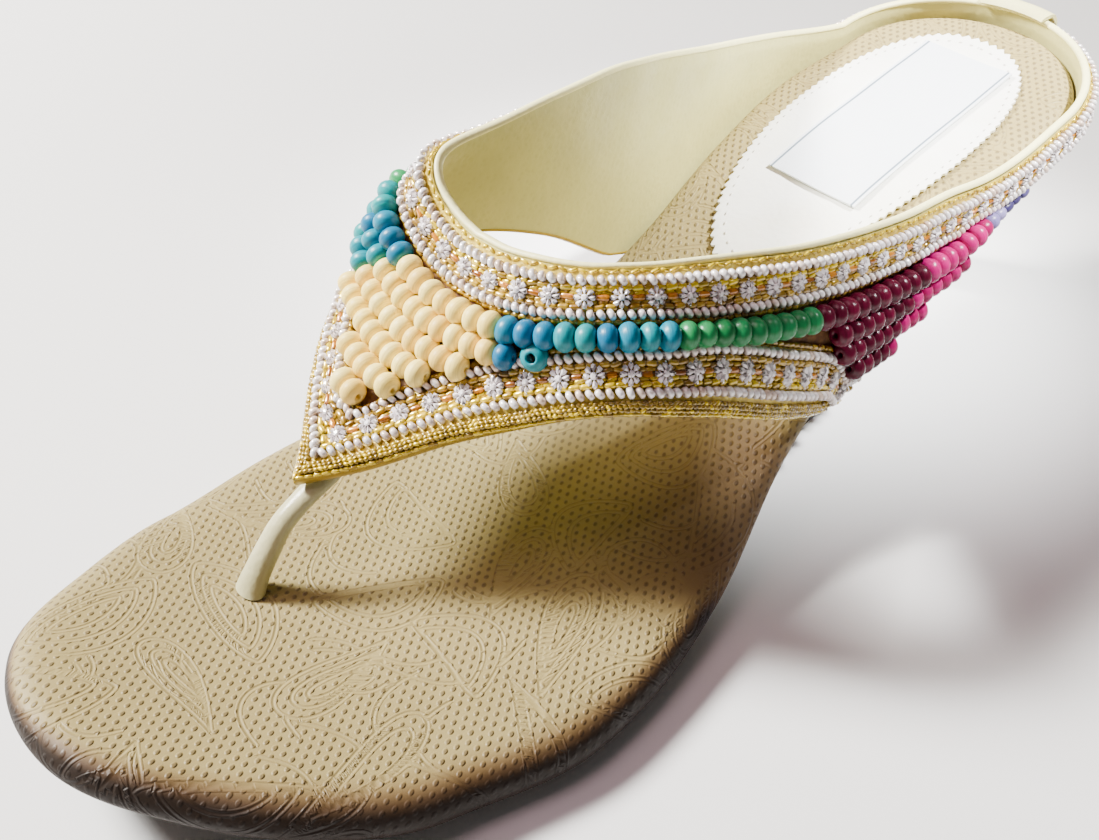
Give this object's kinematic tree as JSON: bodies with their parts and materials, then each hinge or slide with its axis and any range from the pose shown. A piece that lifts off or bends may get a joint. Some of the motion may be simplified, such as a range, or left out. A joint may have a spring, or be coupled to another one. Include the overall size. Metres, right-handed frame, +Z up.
{
  "type": "high heel thong sandal",
  "caption": "Left high heel toe-post sandal: padded footbed on a slim heel, with a wide beaded V-shaped band wrapped round the back.",
  "frame": {"origin": "centre of the bounding box on the floor plane, under the standing sandal", "axes": "+Z up, -Y towards the toe, +X towards the lateral side of this left shoe"},
  "size_m": [0.0838, 0.2366, 0.0674],
  "materials": {
    "outsole": "thin dark moulded sole, satin",
    "footbed": "padded tan leatherette with an embossed dot and scroll texture",
    "heel": "tan leatherette covered moulded heel",
    "top_piece": "black wear tip",
    "upper": "pale cream leatherette band",
    "collar_binding": "pale cream rolled leather edge",
    "collar_trim": "gold and silver seed beads with clear stones",
    "front_trim": "gold and silver seed beads with clear stones",
    "bead_field": "lacquered wood beads in cream, blue, green, maroon and pink",
    "back_tab": "pale cream leather tab",
    "heel_pad": "pale pad with a pinked edge",
    "label": "blank white satin label",
    "toe_post": "pale cream rolled leather post"
  },
  "bodies": {
    "root": {"outsole": "outsole", "footbed": "footbed", "heel": "heel", "top_piece": "top_piece", "upper": "upper", "collar_binding": "collar_binding", "collar_trim": "collar_trim", "front_trim": "front_trim", "bead_field": "bead_field", "back_tab": "back_tab", "heel_pad": "heel_pad", "label": "label", "toe_post": "toe_post"}
  },
  "joints": []
}
